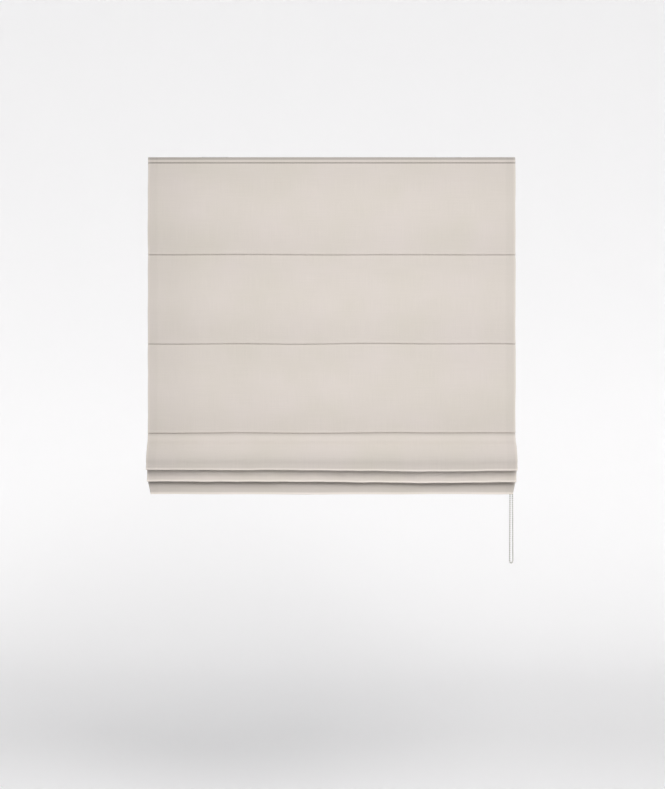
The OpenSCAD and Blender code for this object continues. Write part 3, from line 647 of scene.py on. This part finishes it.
# The thread lies just in front of the cloth and follows each seam's wander.
sewn_to, thread_out = 546, 0.02
x = np.arange(-sewn_to, sewn_to + 0.1, 4.0)
points, edges = [], []
for level in seams:
    forward, drop = panel_hang(x, np.full_like(x, level))
    y = fabric_y - (forward if level > rod_z[2] else 0 * forward) - half_t - thread_out
    edges += [(len(points) + i, len(points) + i + 1) for i in range(len(x) - 1)]
    points += [tuple(p) for p in np.stack([x * MM, y * MM, (level + drop) * MM], 1)]
seam_stitches = grown("seam_stitches", points, edges, stitch_tree())
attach(seam_stitches, "hanging_part")

# ----------------------------------------
# Lining: ivory cotton sateen, smoother and thinner than the face cloth, caught in the same seams. Its
# edges lie over the side hems, and a pocket for each rod is sewn on its back, open where a cord passes.
sateen, tree, shader = material("cotton_sateen_lining", "#E9E3D6", 0.7, Sheen_Weight=0.25, Sheen_Roughness=0.35,
                                Specular_IOR_Level=0.3)
flat = add(tree, "ShaderNodeUVMap", uv_map="flat_cloth").outputs["UV"]
floats = add(tree, "ShaderNodeMapping", {"Vector": flat, "Scale": (1500.0, 60.0, 1.0)}).outputs[0]
grain = add(tree, "ShaderNodeTexNoise", {"Vector": floats, "Scale": 1.0, "Detail": 2.0})
cloud = add(tree, "ShaderNodeTexNoise", {"Vector": flat, "Scale": 5.0, "Detail": 2.0})
ivory = add(tree, "ShaderNodeMix", {"Factor": cloud.outputs["Fac"], 6: "#ECE6DA", 7: "#E4DDCF"}, data_type="RGBA")
fine = add(tree, "ShaderNodeMapRange", {"Value": grain.outputs["Fac"], "From Min": 0.3, "From Max": 0.7,
                                        "To Min": 0.97, "To Max": 1.03})
woven = add(tree, "ShaderNodeVectorMath", {0: ivory.outputs[2], "Scale": fine.outputs[0]}, operation="SCALE")
ribbed = add(tree, "ShaderNodeBump", {"Strength": 0.15, "Distance": 0.0001, "Height": grain.outputs["Fac"]})
wire(shader, {"Base Color": woven.outputs[0], "Normal": ribbed.outputs[0]})


def lining_outline(step):
    """The lining lies on the cloth's back and steps over the inner edge of each side hem."""
    hem_steps = [(526, -2.35), (523, -2.35), (520.5, -2.3), (518, -1.7), (515, -0.95), (510, -0.9)]
    columns = [(c, -0.9) for c in np.linspace(-500, 500, round(1000 / step) + 1)]
    middle = [(-x, d) for x, d in hem_steps] + columns + [(x, d) for x, d in hem_steps[::-1]]
    return [(x, d + 0.25) for x, d in middle], [(x, d - 0.25) for x, d in middle]


# It starts under the turned-in top and ends over the hem's turn-up.
lining_w, lining_step, untrimmed = 1.066, 10.0, -9.0
lining_top, lining_end = fabric_top - turn_in_h - 4, upturn_top + 3
first_row = next(i for i, s in enumerate(upper_route) if s[2] == -90 and s[1] < lining_top)
last_row = next(i for i, s in enumerate(lower_route) if s[1] < lining_end and s[2] < 0 and s[0] < 6 and i > 60)
lining_pieces = cloth_pieces("lining", upper_route[first_row:], lower_route[:last_row],
                             lining_outline(lining_step), sateen, untrimmed)
lets_down(lining_pieces)
for piece, held_by in zip(lining_pieces, face_pieces):
    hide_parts("lining")

# Rod pockets: a strip of the lining sewn into a tube round each rod, in four lengths with a gap for each
# cord. The three upper ones carry a panel, which pulls them a little oval.
pocket_inner, pocket_outer, pocket_middle, pocket_l, pocket_seam, pocket_end = 2.3, 2.8, 2.55, 0.97, 0.002, 515
ring, column_step, cord_gap, cord_places = 14, 12, 10, [-419.4, 10.6, 440.6]
starts = [-pocket_end] + [place + cord_gap for place in cord_places]
breaks = list(zip(starts, [place - cord_gap for place in cord_places] + [pocket_end]))
for n, z in enumerate(rod_z):
    oval = 1.04 if n < 3 else 1.0
    points, faces = [], []
    for x0, x1 in breaks:
        base, columns = len(points), np.linspace(x0, x1, max(3, round((x1 - x0) / column_step)))
        for c in columns:
            sag = 0.12 * math.sin(c / 23 + n) + 0.08 * math.sin(c / 9 + 2 * n)
            for r in (pocket_outer + sag, pocket_inner + sag * 0.5):
                for i in range(ring):
                    a = 2 * math.pi * i / ring
                    points.append((c, fabric_y + rod_off + r * math.cos(a), z + r * math.sin(a) * oval))
        for k in range(len(columns) - 1):
            here, there = base + 2 * ring * k, base + 2 * ring * (k + 1)
            for i in range(ring):
                j = (i + 1) % ring
                faces.append((here + i, here + j, there + j, there + i))
                faces.append((here + ring + j, here + ring + i, there + ring + i, there + ring + j))
        for at, order in ((base, 1), (base + 2 * ring * (len(columns) - 1), -1)):
            for i in range(ring):
                j = (i + 1) % ring
                faces.append((at + j, at + i, at + ring + i, at + ring + j)[::order])
    pocket = mesh_object(f"lining_pocket_{n + 1}", np.array(points) * MM, faces, sateen)
    lay_flat(pocket, np.array([[p[0] * MM, (p[2] + p[1]) * MM] for p in points]))
    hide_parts("lining")
    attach(pocket, "hanging_part" if n < 3 else ("fourth_rod", "fifth_rod")[n - 3])

# ----------------------------------------
# Lift cords: white braided polyester, 1.4 mm, one from each spool down through the eyes on the rods to
# a knot under the last one. They are made in two lengths, parted at the fourth rod.
braid, tree, shader = material("braided_polyester_cord", "#EDEBE4", 0.65, Sheen_Weight=0.15)
where = add(tree, "ShaderNodeTexCoord").outputs["Object"]
right_lay = add(tree, "ShaderNodeTexWave", {"Vector": where, "Scale": 260.0}, wave_type="BANDS",
                bands_direction="DIAGONAL")
mirrored = add(tree, "ShaderNodeMapping", {"Vector": where, "Scale": (1.0, 1.0, -1.0)}).outputs[0]
left_lay = add(tree, "ShaderNodeTexWave", {"Vector": mirrored, "Scale": 260.0}, wave_type="BANDS",
               bands_direction="DIAGONAL")
plait = add(tree, "ShaderNodeMath", {0: right_lay.outputs["Fac"], 1: left_lay.outputs["Fac"]}, operation="MAXIMUM")
plaited = add(tree, "ShaderNodeBump", {"Strength": 0.5, "Distance": 0.0002, "Height": plait.outputs[0]})
strands = add(tree, "ShaderNodeMix", {"Factor": plait.outputs[0], 6: "#D9D6CD", 7: "#F1EFE9"}, data_type="RGBA")
wire(shader, {"Normal": plaited.outputs[0], "Base Color": strands.outputs[2]})


def tube_along(rows, sides):
    """Points and faces of a closed tube from rows of (x, y, z, radius), ends closed."""
    points, faces = [], []
    for x, y, z, r in rows:
        for a in (2 * math.pi * i / sides for i in range(sides)):
            points.append((x + r * math.cos(a), y + r * math.sin(a), z))
    for k in range(len(rows) - 1):
        for i in range(sides):
            j = (i + 1) % sides
            faces.append((k * sides + j, k * sides + i, (k + 1) * sides + i, (k + 1) * sides + j))
    faces.append(tuple(range(sides)))
    faces.append(tuple((len(rows) - 1) * sides + i for i in range(sides))[::-1])
    return points, faces


cord_y, cord_r, shaft_z, row_apart = -4.6, 0.7, -19.4, 8
# The knot hangs under the fifth rod's eye. Its rows are (height over its middle, radius), down to the tail.
knot_z = rod_z[4] - 4 - loose - 2
knot = ((1.7, 0.8), (1.3, 1.6), (0.6, 2.0), (-0.1, 1.75), (-0.6, 1.95), (-1.3, 1.5), (-1.7, 0.8), (-2.0, 0.65),
        (-7.0, 0.8))
for name, top, low, moves_below, bodies in (
        ("lift_cords_upper", shaft_z, rod_z[3], rod_z[3] + 1, ("hanging_part", "fourth_rod")),
        ("lift_cords_lower", rod_z[3], knot_z, rod_z[4] + 6, ("fourth_rod", "fifth_rod"))):
    points, faces = [], []
    for place in cord_places:
        levels = np.linspace(top, low, max(4, round((top - low) / row_apart)) + 1)
        rows = [(place, cord_y, level, cord_r) for level in levels]
        if low == knot_z:
            rows = [row for row in rows if row[2] > knot_z + 2.2]
            rows += [(place, cord_y, knot_z + over, r) for over, r in knot]
        tube_points, tube_faces = tube_along(rows, sides=10)
        faces += [tuple(len(points) + i for i in face) for face in tube_faces]
        points += tube_points
    cords = mesh_object(name, np.array(points) * MM, faces, braid)
    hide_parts("lift_cords")
    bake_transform(cords)

# ----------------------------------------
# Ball chain: one endless loop of hollow 4.5 mm nickel-plated balls, each joined to the next by a short
# dumb-bell pin, so that the balls stand 6 mm apart. It hangs from the wheel at the right end.
nickel, tree, shader = material("nickel_plated_steel", "#C1BEB8", 0.36, Metallic=1.0)
where = add(tree, "ShaderNodeTexCoord").outputs["Object"]
worn = add(tree, "ShaderNodeTexNoise", {"Vector": where, "Scale": 380.0, "Detail": 3.0})
handled = add(tree, "ShaderNodeMapRange", {"Value": worn.outputs["Fac"], "From Min": 0.3, "From Max": 0.7,
                                           "To Min": 0.3, "To Max": 0.44})
plated = add(tree, "ShaderNodeMix", {"Factor": worn.outputs["Fac"], 6: "#CBC8C2", 7: "#B2AFA8"}, data_type="RGBA")
wire(shader, {"Roughness": handled.outputs[0], "Base Color": plated.outputs[2]})


def chain_tree():
    """A ball at each point of the loop and a pin along each of its edges."""
    sizes = {"Ball Radius": 0.00225, "Pin Radius": 0.0005, "Pin Length": 0.003}
    group, given, result = grower("ball_chain", "Loop", sizes)
    ball = add(group, "GeometryNodeMeshUVSphere", {"Segments": 12, "Rings": 8,
                                                   "Radius": given.outputs["Ball Radius"]})
    balls = add(group, "GeometryNodeInstanceOnPoints", {"Points": given.outputs["Loop"], "Instance": ball.outputs[0]})
    ends = add(group, "GeometryNodeInputMeshEdgeVertices")
    way = add(group, "ShaderNodeVectorMath", {0: ends.outputs["Position 2"], 1: ends.outputs["Position 1"]},
              operation="SUBTRACT")
    along = add(group, "FunctionNodeAlignRotationToVector", {"Vector": way.outputs[0]}, axis="Z")
    kept = add(group, "GeometryNodeStoreNamedAttribute", {0: given.outputs["Loop"], "Name": "along",
                                                          "Value": along.outputs[0]},
               data_type="QUATERNION", domain="EDGE")
    middles = add(group, "GeometryNodeMeshToPoints", {0: kept.outputs[0]}, mode="EDGES")
    pin = add(group, "GeometryNodeMeshCylinder", {"Vertices": 8, "Radius": given.outputs["Pin Radius"],
                                                  "Depth": given.outputs["Pin Length"]})
    turn = add(group, "GeometryNodeInputNamedAttribute", {"Name": "along"}, data_type="QUATERNION")
    pins = add(group, "GeometryNodeInstanceOnPoints", {"Points": middles.outputs[0], "Instance": pin.outputs[0],
                                                       "Rotation": turn.outputs[0]})
    both = add(group, "GeometryNodeJoinGeometry")
    group.links.new(balls.outputs[0], both.inputs[0])
    group.links.new(pins.outputs[0], both.inputs[0])
    real = add(group, "GeometryNodeRealizeInstances", {0: both.outputs[0]})
    finish = add(group, "GeometryNodeSetMaterial", {0: real.outputs[0], "Material": nickel})
    wire(result, {0: finish.outputs[0]})
    return group


# Half of the eight-pocket wheel carries five balls. The two strands hang from it, shifted apart a little
# sideways so that the loop's end shows round, and three more balls close that end.
wheel_x, shaft_y, wheel_pockets, bead_pitch, strand_beads, strand_shift = 541.95, 4.4, 8, 6, 199, 5.5
wheel_pitch_r = bead_pitch / 2 / math.sin(math.pi / wheel_pockets)
strand_l, low_y = strand_beads * bead_pitch, math.sqrt(wheel_pitch_r ** 2 - strand_shift ** 2)


def strand_bead(end, i):
    """Middle of bead i, counted down from the wheel, on the strand at the back (1) or the front (-1)."""
    t = i / strand_beads
    y = shaft_y + end * (wheel_pitch_r + (low_y - wheel_pitch_r) * t)
    return wheel_x + end * strand_shift * t, y, shaft_z - strand_l * t


loop = [(wheel_x, shaft_y + wheel_pitch_r * math.cos(a), shaft_z + wheel_pitch_r * math.sin(a))
        for a in (i * math.pi / 4 for i in range(5))]
loop += [strand_bead(-1, i) for i in range(1, strand_beads + 1)]
loop += [(wheel_x + strand_shift * math.cos(a), shaft_y + low_y * math.cos(a),
          shaft_z - strand_l - wheel_pitch_r * math.sin(a))
         for a in (0.75 * math.pi, 0.5 * math.pi, 0.25 * math.pi)]
loop += [strand_bead(1, i) for i in range(strand_beads, 0, -1)]
edges = [(i, (i + 1) % len(loop)) for i in range(len(loop))]
chain = grown("ball_chain_loop", [tuple(c * MM for c in p) for p in loop], edges, chain_tree())
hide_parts("ball_chain")
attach(chain, "hanging_part")

# ----------------------------------------
# Headrail: a lipped channel, roll-formed from steel strip and painted white. It keeps the shape of its
# node, as do the pieces below, and clips up into the two brackets.


def dress(finish, *nodes):
    """Gives a finish to nodes of the model that keep their shape."""
    for name in nodes:
        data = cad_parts[name].data
        data.materials.clear()
        data.materials.append(finish)
        data.polygons.foreach_set("material_index", [0] * len(data.polygons))


# Polyester powder coat on a steel rail: satin white with a fine orange peel, 0.6 mm across.
powder, tree, shader = material("white_powder_coat", "#ECEBE7", 0.42)
where = add(tree, "ShaderNodeTexCoord").outputs["Object"]
peel = add(tree, "ShaderNodeTexNoise", {"Vector": where, "Scale": 1600.0, "Detail": 1.0})
peeled = add(tree, "ShaderNodeBump", {"Strength": 0.12, "Distance": 0.0001, "Height": peel.outputs["Fac"]})
dust = add(tree, "ShaderNodeTexNoise", {"Vector": where, "Scale": 18.0, "Detail": 4.0})
dusty = add(tree, "ShaderNodeMix", {"Factor": dust.outputs["Fac"], 6: "#EFEEEA", 7: "#E6E4DF"}, data_type="RGBA")
wire(shader, {"Normal": peeled.outputs[0], "Base Color": dusty.outputs[2]})
dress(powder, "headrail")

# ----------------------------------------
# Hook and loop tape, woven nylon: the hook half is stuck on the rail's front and the loop half is sewn
# behind the cloth's turned-in top, so that the cloth pulls off. Each has a nap of tiny hooks or loops,
# 1 mm apart.
tape, tree, shader = material("hook_and_loop_tape", "#E8E6E0", 0.9, Sheen_Weight=0.3)
where = add(tree, "ShaderNodeTexCoord").outputs["Object"]
nap = add(tree, "ShaderNodeTexVoronoi", {"Vector": where, "Scale": 1000.0})
hooked = add(tree, "ShaderNodeBump", {"Strength": 0.6, "Distance": 0.0004, "Height": nap.outputs["Distance"]})
napped = add(tree, "ShaderNodeMix", {"Factor": nap.outputs["Distance"], 6: "#DEDBD3", 7: "#F0EEE9"}, data_type="RGBA")
wire(shader, {"Normal": hooked.outputs[0], "Base Color": napped.outputs[2]})
dress(tape, "loop_tape", "hook_tape")

# ----------------------------------------
# Moulded parts: the rail's end cap, the drive with its cover and wheel, the spools in their cradles, the
# brackets' cams and the bar's caps. They are injection-moulded in ABS, finely sparked, and snap or plug
# in place.
moulded, tree, shader = material("moulded_abs", "#E7E5E0", 0.45)
where = add(tree, "ShaderNodeTexCoord").outputs["Object"]
spark = add(tree, "ShaderNodeTexNoise", {"Vector": where, "Scale": 2200.0, "Detail": 2.0})
sparked = add(tree, "ShaderNodeBump", {"Strength": 0.15, "Distance": 0.00008, "Height": spark.outputs["Fac"]})
flow = add(tree, "ShaderNodeTexNoise", {"Vector": where, "Scale": 60.0, "Detail": 2.0})
flowed = add(tree, "ShaderNodeMix", {"Factor": flow.outputs["Fac"], 6: "#E9E7E2", 7: "#E1DFD9"}, data_type="RGBA")
wire(shader, {"Normal": sparked.outputs[0], "Base Color": flowed.outputs[2]})
dress(moulded, "left_end_cap", "drive_housing", "drive_cover", "left_cam", "right_cam", "left_cradle",
      "middle_cradle", "right_cradle", "left_spool", "middle_spool", "right_spool", "chain_wheel", "bar_end_caps")

# ----------------------------------------
# Brackets and rivets: plates pressed from steel, each with holes for its screws and a rivet that holds
# its cam. Zinc-plated: pale blue-grey with the faint spangle and scuffs of plating. The chain's joiner
# is nickel-plated like the chain.
zinc, tree, shader = material("zinc_plated_steel", "#BFC2C6", 0.38, Metallic=1.0)
where = add(tree, "ShaderNodeTexCoord").outputs["Object"]
spangle = add(tree, "ShaderNodeTexVoronoi", {"Vector": where, "Scale": 160.0})
plated = add(tree, "ShaderNodeMix", {"Factor": spangle.outputs["Distance"], 6: "#C6C9CC",
                                     7: "#B2B6BB"}, data_type="RGBA")
scuffs = add(tree, "ShaderNodeTexNoise", {"Vector": where, "Scale": 240.0, "Detail": 3.0})
scuffed = add(tree, "ShaderNodeMapRange", {"Value": scuffs.outputs["Fac"], "From Min": 0.3, "From Max": 0.7,
                                           "To Min": 0.28, "To Max": 0.48})
wire(shader, {"Base Color": plated.outputs[2], "Roughness": scuffed.outputs[0]})
dress(zinc, "left_bracket", "right_bracket", "cam_rivets")
dress(nickel, "chain_joiner")

# ----------------------------------------
# Drive shaft and bottom bar: a hexagonal rod that turns the spools, and a flat bar that weighs the hem
# down. Extruded aluminium, mill finish, with fine drawing lines along the length.
extruded, tree, shader = material("mill_finish_aluminium", "#C8C9CA", 0.4, Metallic=1.0)
where = add(tree, "ShaderNodeTexCoord").outputs["Object"]
drawn = add(tree, "ShaderNodeMapping", {"Vector": where, "Scale": (3.0, 1800.0, 1800.0)}).outputs[0]
lines_along = add(tree, "ShaderNodeTexNoise", {"Vector": drawn, "Scale": 1.0, "Detail": 2.0})
streaks = add(tree, "ShaderNodeMapRange", {"Value": lines_along.outputs["Fac"], "From Min": 0.3, "From Max": 0.7,
                                           "To Min": 0.32, "To Max": 0.5})
streaked = add(tree, "ShaderNodeMix", {"Factor": lines_along.outputs["Fac"], 6: "#CDCED0",
                                       7: "#BDBFC1"}, data_type="RGBA")
wire(shader, {"Roughness": streaks.outputs[0], "Base Color": streaked.outputs[2]})
dress(extruded, "drive_shaft", "bottom_bar")

# ----------------------------------------
# Rods: five thin round rods that keep the cloth stiff across, each slid into its pocket. Pultruded glass
# fibre in polyester resin: pale, faintly green, with the fibres along the rod.
fibre, tree, shader = material("pultruded_glass_fibre", "#DEDFCB", 0.35)
where = add(tree, "ShaderNodeTexCoord").outputs["Object"]
pulled = add(tree, "ShaderNodeMapping", {"Vector": where, "Scale": (8.0, 1500.0, 1500.0)}).outputs[0]
fibres = add(tree, "ShaderNodeTexNoise", {"Vector": pulled, "Scale": 1.0, "Detail": 2.0})
resin = add(tree, "ShaderNodeMix", {"Factor": fibres.outputs["Fac"], 6: "#E6E7D6", 7: "#D2D3BB"}, data_type="RGBA")
wire(shader, {"Base Color": resin.outputs[2]})
dress(fibre, "rod_1", "rod_2", "rod_3", "rod_4", "rod_5")

# ----------------------------------------
# Cord guides: three clips on each rod, each with an eye for its cord, moulded in clear acetal. It is
# nearly colourless, so it is drawn as a pale milky plastic. The cord wound on the spools is of the same
# braid as the lift cords.
clip, tree, shader = material("moulded_clear_acetal", "#E3E6E5", 0.22)
where = add(tree, "ShaderNodeTexCoord").outputs["Object"]
haze = add(tree, "ShaderNodeTexNoise", {"Vector": where, "Scale": 300.0, "Detail": 2.0})
hazy = add(tree, "ShaderNodeMix", {"Factor": haze.outputs["Fac"], 6: "#EAEDEC", 7: "#DADEDD"}, data_type="RGBA")
wire(shader, {"Base Color": hazy.outputs[2]})
dress(clip, *[f"rod_{n}_guides" for n in range(1, 6)])
dress(braid, "wound_cords")
